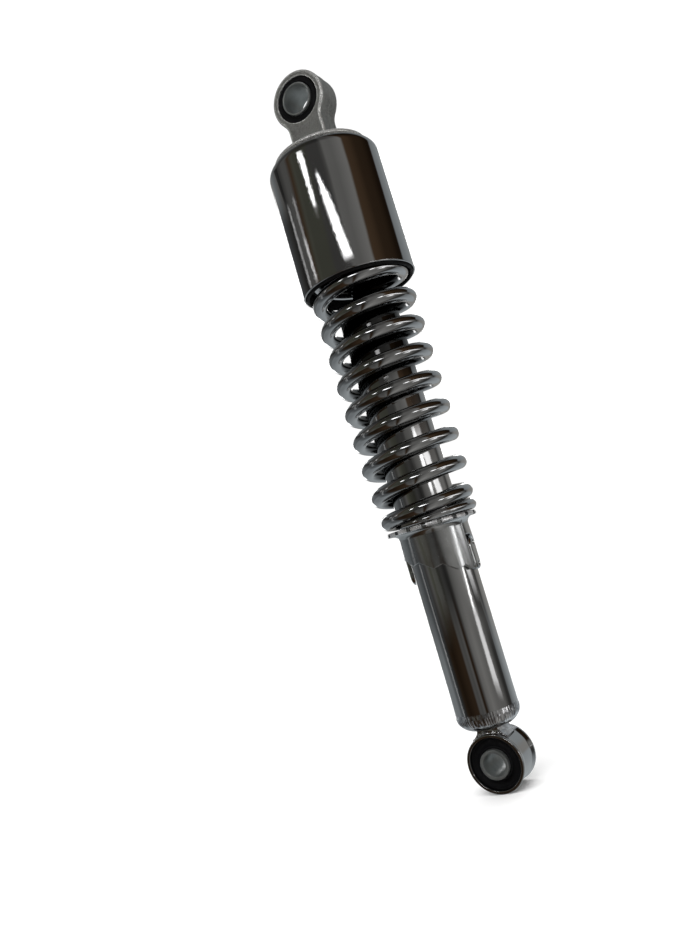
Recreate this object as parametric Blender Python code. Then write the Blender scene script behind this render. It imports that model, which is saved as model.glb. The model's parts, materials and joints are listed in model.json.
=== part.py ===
"""Rear shock absorber for a small motorcycle, the twin-tube hydraulic kind with a coil spring.

It stands upright along +Z. The origin is the centre of the lower eye, and both bolt holes run along Y.
Sizes are in millimetres and become metres where a mesh is made. Run it with
blender --background --python part.py, or from Blender's text editor.
"""

import math

import bmesh
import bpy
from mathutils import Matrix, Vector

MM = 0.001

# Driving dimensions, in millimetres and degrees.
EYE_TO_EYE = 327.0
GAP = 0.3  # left between pieces that touch on the real object
FINE = 32  # facets round a large piece
COARSE = 24  # facets round a small piece

# Eyes. Each is a metal ring, a rubber bush and a steel sleeve, from the outside in.
UPPER_BORE_R = 7.0
UPPER_SLEEVE_R = 7.95
UPPER_SLEEVE_WIDTH = 17.0
UPPER_BUSH_R = 11.1
UPPER_RING_R = 14.4
UPPER_RING_WIDTH = 15.0
LOWER_BORE_R = 5.1
LOWER_SLEEVE_R = 6.6
LOWER_SLEEVE_WIDTH = 19.6
LOWER_BUSH_R = 11.45
LOWER_RING_R = 13.2
LOWER_WAIST_R = 12.45
LOWER_RING_WIDTH = 17.6

# Top: the casting's cap sits on the cover, and the cover hangs over the spring.
CAP_R = 23.8
CAP_BOTTOM = 296.3
CAP_TOP = 299.1
NECK_HALF_WIDTH = 9.65
BOSS_R = 11.0
BOSS_BOTTOM = 291.3
COVER_R = 27.9
COVER_WALL = 0.9
COVER_BOTTOM = 229.0
COVER_TOP = 296.0
COVER_SHOULDER_R = 5.5
LINER_WALL = 1.2

# Spring: a right-hand coil. Angles are turns from the end that rests on the collar.
WIRE_R = 3.5
COIL_R = 21.4
COIL_END_R = 19.2
COIL_PITCH = 13.8
COIL_PHASE = 209.0  # degrees round +Z at which a coil crosses COIL_PHASE_Z
COIL_PHASE_Z = 195.95
COIL_TAPER_TURNS = 2.6
COIL_CLOSED_BELOW = 1.1  # turns that lie flat on the collar
COIL_CLOSED_ABOVE = 0.7  # turns that lie flat under the seat
COIL_GROUND_TURNS = 0.46  # of those below, the stretch that is ground thinner towards its tip
COIL_TIP_R = 0.85
COIL_SOFTNESS_BELOW = 2.5  # how gradually the pitch starts
COIL_SOFTNESS_ABOVE = 8.6  # how gradually it ends

# Damper.
TUBE_R = 14.6
TUBE_WALL = 1.5
TUBE_BOTTOM = 22.2
TUBE_TOP = 216.3
CYLINDER_R = 11.5
CYLINDER_BORE_R = 10.1
CYLINDER_BOTTOM = 24.6
CYLINDER_TOP = 201.4
ROD_R = 5.0
ROD_BOTTOM = 160.0
ROD_TOP = 305.0
STROKE = 55.0

# Preload collar: five valleys down its lower edge, twice round, that rest on two lugs.
COLLAR_TOP = 110.2
COLLAR_FLANGE_BOTTOM = 108.3
COLLAR_FLANGE_R = 21.5
COLLAR_SKIRT_R = 16.8
COLLAR_BORE_R = 15.1
COLLAR_TABS = 18
COLLAR_NOTCH_PHASE = 5.0  # degrees round +Z of the first notch between two tabs
CAM_STEPS = 5
CAM_STEP_ANGLE = 37.6
CAM_STEP_RISE = 3.28
CAM_TIP_ANGLE = 13.6  # from a tip on to the valley after it
CAM_TIP_DEPTH = 0.3  # a tip under the valley after it
CAM_WALL_ANGLE = 13.5  # from the stop wall on to the first valley
CAM_END_ANGLE = 161.0  # where the slope after the last valley ends
CAM_FIRST_EDGE = 101.0
CAM_LAST_EDGE = 85.1
LUG_INNER_R = 14.9
LUG_OUTER_R = 17.1
LUG_HALF_ANGLE = 12.5
LUG_TOP = 98.9
LUG_BOTTOM = 83.9

# Derived heights and radii.
CAP_END_BOTTOM = 15.0
SPRING_BOTTOM = COLLAR_TOP + GAP
SEAT_TOP = COVER_TOP - COVER_WALL - GAP
SEAT_BOTTOM = SEAT_TOP - 1.6
SPRING_TOP = SEAT_BOTTOM - GAP
LINER_TOP = SEAT_BOTTOM - 5.0
LINER_BOTTOM = COVER_BOTTOM - 1.0  # it shows just under the chrome edge
BUMP_BOTTOM = TUBE_TOP + STROKE + 1.0
BUMP_TOP = BUMP_BOTTOM + 10.8
NUT_BOTTOM = BUMP_TOP + 2 * GAP + 1.0
NUT_TOP = BOSS_BOTTOM - GAP
GUIDE_BUSH_R = 6.3
GUIDE_TOP = CYLINDER_TOP + 8.5
SEAL_CAP_BOTTOM = GUIDE_TOP + 2 * GAP + 3.0
SEAL_CAP_TOP = TUBE_TOP - 1.0 - GAP
PISTON_STUD_R = 3.5
PISTON_BOTTOM = ROD_BOTTOM + 7.5
PISTON_TOP = PISTON_BOTTOM + 8.6
SHOULDER_Z = PISTON_TOP + 1.1
VALVE_BOLT_R = 2.2
VALVE_SHIM_TOP = CYLINDER_BOTTOM + 2.1


# Scene and materials


def clear_scene():
    for old in list(bpy.data.objects):
        bpy.data.objects.remove(old, do_unlink=True)


def metal_or_plastic(name, colour, roughness, metallic):
    finish = bpy.data.materials.new(name)
    finish.use_nodes = True
    shader = finish.node_tree.nodes["Principled BSDF"]
    shader.inputs["Base Color"].default_value = (*colour, 1.0)
    shader.inputs["Roughness"].default_value = roughness
    shader.inputs["Metallic"].default_value = metallic
    return finish


def empty_at(name, z, parent=None):
    """A joint's empty, on the shock's axis at height z."""
    joint = bpy.data.objects.new(name, None)
    joint.empty_display_size = 0.02
    bpy.context.scene.collection.objects.link(joint)
    joint.location = (0, 0, z * MM)
    if parent:
        hang(joint, parent)
    return joint


def hang(child, parent):
    """Parents child without moving it."""
    bpy.context.view_layer.update()
    child.parent = parent
    child.matrix_parent_inverse = parent.matrix_world.inverted()


# Mesh helpers


def object_from(name, mesh_data, finish):
    """Turns a bmesh in millimetres into a linked object in metres."""
    bmesh.ops.scale(mesh_data, vec=Vector((MM, MM, MM)), verts=mesh_data.verts)
    bmesh.ops.recalc_face_normals(mesh_data, faces=mesh_data.faces)
    mesh = bpy.data.meshes.new(name)
    mesh_data.to_mesh(mesh)
    mesh_data.free()
    mesh.shade_smooth()
    mesh.set_sharp_from_angle(angle=math.radians(35))
    if finish:
        mesh.materials.append(finish)
    made = bpy.data.objects.new(name, mesh)
    bpy.context.scene.collection.objects.link(made)
    return made


def arc(centre_r, centre_z, radius, start, end, steps):
    """Points on an arc in the (radius, height) plane, angles in degrees from +r towards +z."""
    turns = [math.radians(start + (end - start) * i / steps) for i in range(steps + 1)]
    return [(centre_r + radius * math.cos(a), centre_z + radius * math.sin(a)) for a in turns]


def turned(name, profile, finish=None, facets=COARSE):
    """Turns a closed outline of (radius, height) points about Z."""
    shape = bmesh.new()
    points = [shape.verts.new((r, 0, z)) for r, z in profile]
    for start, end in zip(points, points[1:] + points[:1]):
        if start.co.x > 0 or end.co.x > 0:
            shape.edges.new((start, end))
    bmesh.ops.spin(
        shape,
        geom=shape.verts[:] + shape.edges[:],
        axis=(0, 0, 1),
        cent=(0, 0, 0),
        steps=facets,
        angle=2 * math.pi,
        use_merge=True,
    )
    bmesh.ops.remove_doubles(shape, verts=shape.verts, dist=0.001)
    return object_from(name, shape, finish)


def washer(name, inner, outer, bottom, top, finish, facets=COARSE):
    ring = [(inner, bottom), (outer, bottom), (outer, top), (inner, top)]
    return turned(name, ring, finish, facets)


def lay_along_y(piece, z):
    """Turns a piece made about Z so that it lies about Y, at height z."""
    piece.rotation_euler = (math.radians(90), 0, 0)
    piece.location = (0, 0, z * MM)
    return piece


def plate(name, outline, half_width, finish=None):
    """Extrudes a closed (x, z) outline along Y, the same distance to each side."""
    shape = bmesh.new()
    front = shape.faces.new([shape.verts.new((x, -half_width, z)) for x, z in outline])
    swept = bmesh.ops.extrude_face_region(shape, geom=[front])
    moved = [item for item in swept["geom"] if isinstance(item, bmesh.types.BMVert)]
    bmesh.ops.translate(shape, vec=(0, 2 * half_width, 0), verts=moved)
    return object_from(name, shape, finish)


def combine(piece, tool, operation):
    """Adds a Boolean, and hides its tool from the render and the build."""
    change = piece.modifiers.new(tool.name, "BOOLEAN")
    change.operation = operation
    change.object = tool
    tool.hide_render = True
    tool.display_type = "WIRE"
    return piece


def cylinder_tool(name, radius, bottom, top, centre=(0, 0), facets=COARSE):
    tool = turned(name, [(0, bottom), (radius, bottom), (radius, top), (0, top)], None, facets)
    tool.location = (centre[0] * MM, centre[1] * MM, 0)
    return tool


def drilled_ring(piece, name, hole_r, circle_r, holes, bottom, top):
    """Drills a circle of small holes along Z."""
    for i in range(holes):
        angle = 2 * math.pi * i / holes
        place = (circle_r * math.cos(angle), circle_r * math.sin(angle))
        tool = cylinder_tool(f"{name}_{i + 1}", hole_r, bottom, top, place, facets=8)
        combine(piece, tool, "DIFFERENCE")
    return piece


# Eyes


def bush(name, inner, outer, half_width, z, finish):
    """A rubber ring whose faces bulge a little between its two bonded edges."""
    middle = (inner + outer) / 2
    ring = [
        (inner, -half_width + 1.2),
        (middle, -half_width),
        (outer, -half_width + 0.8),
        (outer, half_width - 0.8),
        (middle, half_width),
        (inner, half_width - 1.2),
    ]
    return lay_along_y(turned(name, ring, finish, FINE), z)


def sleeve(name, bore, outer, width, z, finish):
    chamfer = 0.4
    end = width / 2
    ring = [
        (bore + chamfer, -end),
        (outer, -end),
        (outer, end),
        (bore + chamfer, end),
        (bore, end - chamfer),
        (bore, -end + chamfer),
    ]
    return lay_along_y(turned(name, ring, finish, FINE), z)


def upper_eye_casting(finish):
    """The eye ring, its neck, the round cap and the threaded boss, cast in one piece."""
    blend = 8.0
    flare = 3.0
    blend_x = NECK_HALF_WIDTH + blend
    drop = math.sqrt((UPPER_RING_R + blend) ** 2 - blend_x**2)
    blend_z = EYE_TO_EYE - drop
    turn = math.degrees(math.atan2(drop, blend_x))
    ring_side = arc(0, EYE_TO_EYE, UPPER_RING_R, 90, -turn, 9)
    neck_side = arc(blend_x, blend_z, blend, 180 - turn, 180, 3)[1:]
    foot = CAP_TOP - 0.8
    foot_side = arc(NECK_HALF_WIDTH + flare, foot + flare, flare, 180, 270, 3)
    right = ring_side + neck_side + foot_side
    left = [(-x, z) for x, z in reversed(right[1:])]
    casting = plate("upper_eye_casting", right + left, UPPER_RING_WIDTH / 2, finish)
    rim = arc(CAP_R - 1.2, CAP_BOTTOM + 1.2, 1.2, -90, 60, 3)
    cap = [(0, BOSS_BOTTOM), (BOSS_R, BOSS_BOTTOM), (BOSS_R, CAP_BOTTOM)]
    cap += rim + [(NECK_HALF_WIDTH + 3, CAP_TOP), (0, CAP_TOP)]
    combine(casting, turned("casting_cap_tool", cap, None, FINE), "UNION")
    bore = cylinder_tool("casting_bore_tool", UPPER_BUSH_R + GAP, -15, 15, facets=FINE)
    combine(casting, lay_along_y(bore, EYE_TO_EYE), "DIFFERENCE")
    thread = cylinder_tool("casting_thread_tool", ROD_R + GAP, BOSS_BOTTOM - 1, ROD_TOP + 1)
    return combine(casting, thread, "DIFFERENCE")


def lower_eye_ring(finish):
    """A ring with a waist between its two rims, and the foot that is welded to the tube's end."""
    end = LOWER_RING_WIDTH / 2
    bore = LOWER_BUSH_R + GAP
    ring = [
        (bore, -end),
        (LOWER_RING_R, -end),
        (LOWER_RING_R, -end + 1.2),
        (LOWER_WAIST_R, -end + 4.0),
        (LOWER_WAIST_R, end - 4.0),
        (LOWER_RING_R, end - 1.2),
        (LOWER_RING_R, end),
        (bore, end),
    ]
    eye = lay_along_y(turned("lower_eye_ring", ring, finish, FINE), 0)
    foot_top = CAP_END_BOTTOM - GAP
    foot_bottom = LOWER_WAIST_R - 0.5
    foot_outline = [(-7.4, foot_top), (-8.4, foot_bottom - 4), (8.4, foot_bottom - 4), (7.4, foot_top)]
    foot = plate("eye_foot_tool", foot_outline, 7.5)
    hollow = cylinder_tool("eye_foot_hollow_tool", bore + 0.4, -12, 12, facets=FINE)
    combine(foot, lay_along_y(hollow, 0), "DIFFERENCE")
    return combine(eye, foot, "UNION")


# Cover, spring and collar


def chrome_cover(finish):
    """A pressed cup with a rounded shoulder, open at the bottom, with a hole for the boss."""
    inner = COVER_R - COVER_WALL
    shoulder_z = COVER_TOP - COVER_SHOULDER_R
    outside = arc(COVER_R - COVER_SHOULDER_R, shoulder_z, COVER_SHOULDER_R, 0, 90, 4)
    inside = arc(COVER_R - COVER_SHOULDER_R, shoulder_z, COVER_SHOULDER_R - COVER_WALL, 90, 0, 3)
    hole = BOSS_R + GAP
    profile = [(inner, COVER_BOTTOM), (COVER_R, COVER_BOTTOM)] + outside
    profile += [(hole, COVER_TOP), (hole, COVER_TOP - COVER_WALL)] + inside
    return turned("chrome_cover", profile, finish, 40)


def upper_spring_seat(finish):
    """A washer under the cover's crown, chamfered to clear the shoulder."""
    hole = BOSS_R + 1.0
    outer = COIL_R + WIRE_R
    profile = [(hole, SEAT_BOTTOM), (outer, SEAT_BOTTOM), (outer - 1.8, SEAT_TOP), (hole, SEAT_TOP)]
    return turned("upper_spring_seat", profile, finish, FINE)


def coil_height(degrees):
    """Height of the wire's centre: an even pitch, flattened towards both closed ends."""
    even = COIL_PHASE_Z + COIL_PITCH * (degrees - COIL_PHASE) / 360
    floor = SPRING_BOTTOM + WIRE_R - 0.15
    above = (even - floor) / 2
    even = (even + floor) / 2 + math.sqrt(above**2 + COIL_SOFTNESS_BELOW)
    ceiling = SPRING_TOP - WIRE_R + 0.4
    below = (ceiling - even) / 2
    return (even + ceiling) / 2 - math.sqrt(below**2 + COIL_SOFTNESS_ABOVE)


def coil_radius(turns_from_end):
    """The lower end tapers in, so that it sits on the collar."""
    along = (turns_from_end - COIL_CLOSED_BELOW) / COIL_TAPER_TURNS
    along = min(max(along, 0.0), 1.0)
    return COIL_END_R + (COIL_R - COIL_END_R) * along * (2 - along)


def wire_radius(turns_from_end):
    """The lower end is ground thinner, so that the turn above it lies nearly level."""
    return COIL_TIP_R + (WIRE_R - COIL_TIP_R) * min(turns_from_end / COIL_GROUND_TURNS, 1.0)


def coil_spring(finish):
    """Sweeps a ring of points along the helix and closes both ends."""
    wire_sides = 6
    steps_a_turn = 16
    rise = SPRING_TOP - SPRING_BOTTOM - 2 * WIRE_R
    turns = rise / COIL_PITCH + COIL_CLOSED_BELOW + COIL_CLOSED_ABOVE - 0.6
    last = COIL_PHASE + 360 * (SPRING_TOP - WIRE_R - COIL_PHASE_Z) / COIL_PITCH + 100
    first = last - 360 * turns
    count = round(turns * steps_a_turn)
    shape = bmesh.new()
    rings = []
    for i in range(count + 1):
        degrees = first + (last - first) * i / count
        from_end = (degrees - first) / 360
        wire = wire_radius(from_end)
        angle = math.radians(degrees)
        outward = Vector((math.cos(angle), math.sin(angle), 0))
        thinned = WIRE_R - wire
        centre = outward * (coil_radius(from_end) + thinned) + Vector((0, 0, coil_height(degrees) - thinned))
        ring = []
        for side in range(wire_sides):
            around = 2 * math.pi * side / wire_sides
            offset = outward * math.cos(around) + Vector((0, 0, math.sin(around)))
            ring.append(shape.verts.new(centre + offset * wire))
        rings.append(ring)
    for ring, following in zip(rings, rings[1:]):
        for side in range(wire_sides):
            beside = (side + 1) % wire_sides
            shape.faces.new((ring[side], ring[beside], following[beside], following[side]))
    shape.faces.new(rings[0])
    shape.faces.new(rings[-1])
    return object_from("coil_spring", shape, finish)


def cam_edge():
    """(angle, height) stations down one half of the collar's lower edge, from its stop wall on."""
    stations = [(-CAM_WALL_ANGLE, CAM_LAST_EDGE), (-CAM_WALL_ANGLE + 0.6, CAM_FIRST_EDGE)]
    for step in range(CAM_STEPS):
        valley = CAM_FIRST_EDGE - step * CAM_STEP_RISE
        stations.append((step * CAM_STEP_ANGLE, valley))
        tip_angle = (step + 1) * CAM_STEP_ANGLE - CAM_TIP_ANGLE
        stations.append((tip_angle, valley - CAM_STEP_RISE - CAM_TIP_DEPTH))
    stations[-1] = (CAM_END_ANGLE, CAM_LAST_EDGE)
    return stations


def evenly_filled(stations, widest=11.0):
    """Adds stations on the straight lines between these, so that the ring stays round."""
    filled = []
    for (angle, z), (next_angle, next_z) in zip(stations, stations[1:]):
        parts = math.ceil((next_angle - angle) / widest)
        for i in range(parts):
            share = i / parts
            filled.append((angle + (next_angle - angle) * share, z + (next_z - z) * share))
    return filled


def preload_collar(finish):
    """A pressed ring: a castellated flange under the spring, and a skirt with the cam on its lower edge."""
    half_turn = cam_edge()
    whole_turn = [(angle + turn, z) for turn in (0, 180) for angle, z in half_turn]
    closing = (half_turn[0][0] + 360, half_turn[0][1])
    stations = evenly_filled(whole_turn + [closing])
    fillet = arc(COLLAR_SKIRT_R + 3.4, COLLAR_FLANGE_BOTTOM - 3.4, 3.4, 180, 90, 3)
    shape = bmesh.new()
    sections = []
    for angle, edge in stations:
        turn = Matrix.Rotation(math.radians(angle), 3, "Z")
        section = [(COLLAR_BORE_R, edge), (COLLAR_SKIRT_R, edge)] + fillet
        section += [(COLLAR_FLANGE_R, COLLAR_FLANGE_BOTTOM), (COLLAR_FLANGE_R, COLLAR_TOP)]
        section += [(COLLAR_BORE_R, COLLAR_TOP)]
        sections.append([shape.verts.new(turn @ Vector((r, 0, z))) for r, z in section])
    for section, following in zip(sections, sections[1:] + sections[:1]):
        count = len(section)
        for i in range(count):
            after = (i + 1) % count
            shape.faces.new((section[i], section[after], following[after], following[i]))
    bmesh.ops.triangulate(shape, faces=shape.faces)
    collar = object_from("preload_collar", shape, finish)
    notches = bmesh.new()
    middle_z = (COLLAR_TOP + COLLAR_FLANGE_BOTTOM) / 2
    for tab in range(COLLAR_TABS):
        cube = bmesh.ops.create_cube(notches, size=1.0)["verts"]
        bmesh.ops.scale(notches, vec=(3.2, 2.0, 4.0), verts=cube)
        bmesh.ops.translate(notches, vec=(COLLAR_FLANGE_R + 0.1, 0, middle_z), verts=cube)
        angle = math.radians(COLLAR_NOTCH_PHASE + 360 * tab / COLLAR_TABS)
        turn = Matrix.Rotation(angle, 3, "Z")
        bmesh.ops.rotate(notches, matrix=turn, verts=cube)
    return combine(collar, object_from("collar_notches_tool", notches, None), "DIFFERENCE")


def stop_lug(name, middle_angle, finish):
    """A curved plate with round ends, on the outside of the tube."""
    across = 6
    half_height = (LUG_TOP - LUG_BOTTOM) / 2
    middle_z = (LUG_TOP + LUG_BOTTOM) / 2
    end_r = math.radians(LUG_HALF_ANGLE) * LUG_OUTER_R
    shape = bmesh.new()
    columns = []
    for i in range(across + 1):
        share = math.sin(math.pi * (i / across - 0.5)) * 0.999
        angle = math.radians(middle_angle + LUG_HALF_ANGLE * share)
        reach = half_height - end_r * (1 - math.sqrt(1 - share**2))
        corners = [(LUG_INNER_R, -reach), (LUG_OUTER_R, -reach), (LUG_OUTER_R, reach), (LUG_INNER_R, reach)]
        columns.append(
            [shape.verts.new((r * math.cos(angle), r * math.sin(angle), middle_z + z)) for r, z in corners]
        )
    for column, following in zip(columns, columns[1:]):
        for i in range(4):
            after = (i + 1) % 4
            shape.faces.new((column[i], column[after], following[after], following[i]))
    shape.faces.new(columns[0])
    shape.faces.new(columns[-1])
    return object_from(name, shape, finish)


# Damper


def body_tube(finish):
    """The outer tube, with its top edge rolled in over the seal cap."""
    inner = TUBE_R - TUBE_WALL
    profile = [
        (inner, TUBE_BOTTOM),
        (TUBE_R, TUBE_BOTTOM),
        (TUBE_R, TUBE_TOP - 1.2),
        (TUBE_R - 1.2, TUBE_TOP),
        (inner - 1.6, TUBE_TOP),
        (inner - 1.6, TUBE_TOP - 1.0),
        (inner, TUBE_TOP - 1.0),
    ]
    return turned("body_tube", profile, finish, FINE)


def bottom_cap(finish):
    """The tube's rounded end, hollow above for the foot valve, with a spigot inside the tube."""
    outside = arc(TUBE_R - 7.0, CAP_END_BOTTOM + 7.0, 7.0, -90, 0, 5)
    spigot = TUBE_R - TUBE_WALL - GAP
    profile = [(0, CAP_END_BOTTOM)] + outside
    profile += [(spigot, CAP_END_BOTTOM + 7.0), (spigot, TUBE_BOTTOM + 3.0)]
    profile += [(spigot - 1.0, TUBE_BOTTOM + 3.0), (spigot - 1.0, CAP_END_BOTTOM + 3.5)]
    profile += [(0, CAP_END_BOTTOM + 3.5)]
    return turned("bottom_cap", profile, finish, FINE)


def rod_guide(finish):
    """The bearing block at the tube's top: a spigot in the inner cylinder and a groove for its O-ring."""
    outer = TUBE_R - TUBE_WALL - GAP
    bottom = CYLINDER_TOP + GAP
    profile = [
        (GUIDE_BUSH_R + GAP, bottom - 3),
        (CYLINDER_BORE_R - GAP, bottom - 3),
        (CYLINDER_BORE_R - GAP, bottom),
        (outer, bottom),
        (outer, bottom + 4.2),
        (outer - 1.6, bottom + 4.2),
        (outer - 1.6, bottom + 6.4),
        (outer, bottom + 6.4),
        (outer, GUIDE_TOP),
        (GUIDE_BUSH_R + GAP, GUIDE_TOP),
    ]
    return turned("rod_guide", profile, finish, FINE)


def guide_o_ring(finish):
    centre_r = TUBE_R - TUBE_WALL - GAP - 0.65
    return turned("guide_o_ring", arc(centre_r, CYLINDER_TOP + GAP + 5.3, 0.75, 0, 315, 7), finish)


def oil_seal(finish):
    """A double-lip seal, open underneath."""
    bottom = GUIDE_TOP + GAP
    profile = [
        (ROD_R + 0.2, bottom),
        (ROD_R + 1.4, bottom),
        (ROD_R + 1.8, bottom + 1.6),
        (TUBE_R - TUBE_WALL - 2.2, bottom + 1.6),
        (TUBE_R - TUBE_WALL - 2.2, bottom),
        (TUBE_R - TUBE_WALL - GAP, bottom),
        (TUBE_R - TUBE_WALL - GAP, bottom + 3.0),
        (ROD_R + 0.2, bottom + 3.0),
    ]
    return turned("oil_seal", profile, finish)


def piston(finish):
    """The valve piston, with a groove for its ring and four ports through it."""
    body_r = CYLINDER_BORE_R - 0.5
    profile = [
        (PISTON_STUD_R + GAP, PISTON_BOTTOM),
        (body_r, PISTON_BOTTOM),
        (body_r, PISTON_BOTTOM + 2.4),
        (body_r - 1.3, PISTON_BOTTOM + 2.4),
        (body_r - 1.3, PISTON_BOTTOM + 6.2),
        (body_r, PISTON_BOTTOM + 6.2),
        (body_r, PISTON_TOP),
        (PISTON_STUD_R + GAP, PISTON_TOP),
    ]
    made = turned("piston", profile, finish)
    return drilled_ring(made, "piston_port_tool", 0.9, 6.0, 4, PISTON_BOTTOM - 1, PISTON_TOP + 1)


def piston_rod(finish):
    """The rod: threaded into the casting at the top, with a thinner stud for the piston at the bottom."""
    profile = [
        (0, ROD_BOTTOM),
        (PISTON_STUD_R, ROD_BOTTOM),
        (PISTON_STUD_R, SHOULDER_Z),
        (ROD_R, SHOULDER_Z),
        (ROD_R, ROD_TOP - 0.8),
        (ROD_R - 0.8, ROD_TOP),
        (0, ROD_TOP),
    ]
    return turned("piston_rod", profile, finish)


def hex_nut(name, across_flats, bore, bottom, top, finish):
    corner = across_flats / 2 / math.cos(math.pi / 6)
    nut = turned(name, [(0, bottom), (corner, bottom), (corner, top), (0, top)], finish, 6)
    return combine(nut, cylinder_tool(name + "_bore_tool", bore, bottom - 1, top + 1), "DIFFERENCE")


def base_valve_body(finish):
    """The foot valve's block, under the inner cylinder, with four ports."""
    top = CYLINDER_BOTTOM - GAP
    bottom = CAP_END_BOTTOM + 3.5 + GAP
    profile = [
        (VALVE_BOLT_R + GAP, bottom + 1.2),
        (7.0, bottom + 1.2),
        (8.0, bottom),
        (CYLINDER_R, bottom),
        (CYLINDER_R, top),
        (CYLINDER_BORE_R - GAP, top),
        (CYLINDER_BORE_R - GAP, top + 1.5),
        (VALVE_BOLT_R + GAP, top + 1.5),
    ]
    made = turned("base_valve_body", profile, finish)
    return drilled_ring(made, "base_valve_port_tool", 0.9, 5.2, 4, bottom - 1, top + 3)


def base_valve_bolt(finish):
    head_bottom = VALVE_SHIM_TOP + GAP
    shank_bottom = CAP_END_BOTTOM + 3.5 + GAP
    profile = [
        (0, shank_bottom),
        (VALVE_BOLT_R, shank_bottom),
        (VALVE_BOLT_R, head_bottom),
        (4.0, head_bottom),
        (4.0, head_bottom + 2.2),
        (3.4, head_bottom + 2.8),
        (0, head_bottom + 2.8),
    ]
    return turned("base_valve_bolt", profile, finish)


def build():
    clear_scene()
    chrome = metal_or_plastic("chrome", (0.62, 0.62, 0.62), 0.08, 1.0)
    satin_chrome = metal_or_plastic("satin_chrome", (0.55, 0.56, 0.57), 0.22, 1.0)
    aluminium = metal_or_plastic("cast_aluminium", (0.42, 0.42, 0.41), 0.45, 1.0)
    zinc = metal_or_plastic("zinc_steel", (0.36, 0.38, 0.38), 0.35, 1.0)
    steel = metal_or_plastic("plain_steel", (0.5, 0.5, 0.5), 0.3, 1.0)
    rubber = metal_or_plastic("rubber", (0.012, 0.012, 0.014), 0.7, 0.0)
    plastic = metal_or_plastic("black_plastic", (0.02, 0.02, 0.02), 0.5, 0.0)
    brass = metal_or_plastic("bronze", (0.45, 0.3, 0.12), 0.35, 1.0)

    # Fixed to the lower end.
    body = [
        body_tube(chrome),
        bottom_cap(chrome),
        lower_eye_ring(chrome),
        bush("lower_rubber_bush", LOWER_SLEEVE_R + GAP, LOWER_BUSH_R, 8.0, 0, rubber),
        stop_lug("stop_lug_right", 0, chrome),
        stop_lug("stop_lug_left", 180, chrome),
        washer("inner_cylinder", CYLINDER_BORE_R, CYLINDER_R, CYLINDER_BOTTOM, CYLINDER_TOP, steel, FINE),
        base_valve_body(steel),
        washer("base_valve_shim", VALVE_BOLT_R + GAP, 7.5, VALVE_SHIM_TOP - 0.5, VALVE_SHIM_TOP, steel),
        base_valve_bolt(steel),
        rod_guide(aluminium),
        washer("rod_guide_bush", ROD_R + 0.15, GUIDE_BUSH_R, CYLINDER_TOP, GUIDE_TOP, brass),
        guide_o_ring(rubber),
        oil_seal(rubber),
        washer("seal_cap", ROD_R + 1.4, TUBE_R - TUBE_WALL - GAP, SEAL_CAP_BOTTOM, SEAL_CAP_TOP, steel),
        washer("rod_wiper", ROD_R + 0.2, ROD_R + 1.1, SEAL_CAP_BOTTOM, SEAL_CAP_TOP + 0.8, rubber),
    ]
    damper = empty_at("damper_body", 0)
    for piece in body:
        hang(piece, damper)

    lower_twist = empty_at("lower_sleeve_twist", 0, damper)
    hang(sleeve("lower_sleeve", LOWER_BORE_R, LOWER_SLEEVE_R, LOWER_SLEEVE_WIDTH, 0, zinc), lower_twist)

    # The spring and the collar rise together as the collar is turned on its lugs.
    preload_lift = empty_at("preload_lift", COLLAR_TOP, damper)
    hang(coil_spring(chrome), preload_lift)
    collar_turn = empty_at("collar_turn", COLLAR_TOP, preload_lift)
    hang(preload_collar(satin_chrome), collar_turn)

    # The upper end slides down over the spring, and it can swivel about the rod's axis.
    compression = empty_at("compression", SEAT_TOP, damper)
    hang(upper_spring_seat(steel), compression)
    swivel = empty_at("upper_swivel", SEAT_TOP, compression)
    liner_r = COVER_R - COVER_WALL - GAP
    bump_profile = [
        (ROD_R + 0.5, BUMP_BOTTOM),
        (8.0, BUMP_BOTTOM),
        (9.6, BUMP_BOTTOM + 3.0),
        (8.4, BUMP_BOTTOM + 5.0),
        (10.6, BUMP_BOTTOM + 8.0),
        (10.6, BUMP_TOP),
        (ROD_R + 0.5, BUMP_TOP),
    ]
    rod_bore = ROD_R + GAP
    ring_r = CYLINDER_BORE_R - 0.15
    upper = [
        upper_eye_casting(aluminium),
        bush("upper_rubber_bush", UPPER_SLEEVE_R + GAP, UPPER_BUSH_R, 7.2, EYE_TO_EYE, rubber),
        chrome_cover(chrome),
        washer("spring_guide_liner", liner_r - LINER_WALL, liner_r, LINER_BOTTOM, LINER_TOP, plastic, 40),
        piston_rod(chrome),
        hex_nut("lock_nut", 17.0, rod_bore, NUT_BOTTOM, NUT_TOP, zinc),
        washer("bump_stop_washer", rod_bore, 10.6, BUMP_TOP + GAP, BUMP_TOP + GAP + 1.0, steel),
        turned("bump_stop", bump_profile, rubber),
        turned("rebound_stop", arc(ROD_R + 2.0, SHOULDER_Z + 12.6, 1.7, 0, 315, 7), rubber),
        washer("upper_valve_shim", PISTON_STUD_R + GAP, 7.6, PISTON_TOP + 0.3, PISTON_TOP + 0.8, steel),
        piston(steel),
        washer("piston_ring", ring_r - 1.2, ring_r, PISTON_BOTTOM + 2.7, PISTON_BOTTOM + 5.9, plastic, FINE),
        washer("lower_valve_shim", PISTON_STUD_R + GAP, 7.6, PISTON_BOTTOM - 0.8, PISTON_BOTTOM - 0.3, steel),
        hex_nut("piston_nut", 11.0, PISTON_STUD_R + GAP, ROD_BOTTOM + 1.0, PISTON_BOTTOM - 1.1, steel),
    ]
    for piece in upper:
        hang(piece, swivel)

    upper_twist = empty_at("upper_sleeve_twist", EYE_TO_EYE, swivel)
    bolt_sleeve = sleeve("upper_sleeve", UPPER_BORE_R, UPPER_SLEEVE_R, UPPER_SLEEVE_WIDTH, EYE_TO_EYE, zinc)
    hang(bolt_sleeve, upper_twist)


build()
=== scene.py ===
import json
import math

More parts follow.
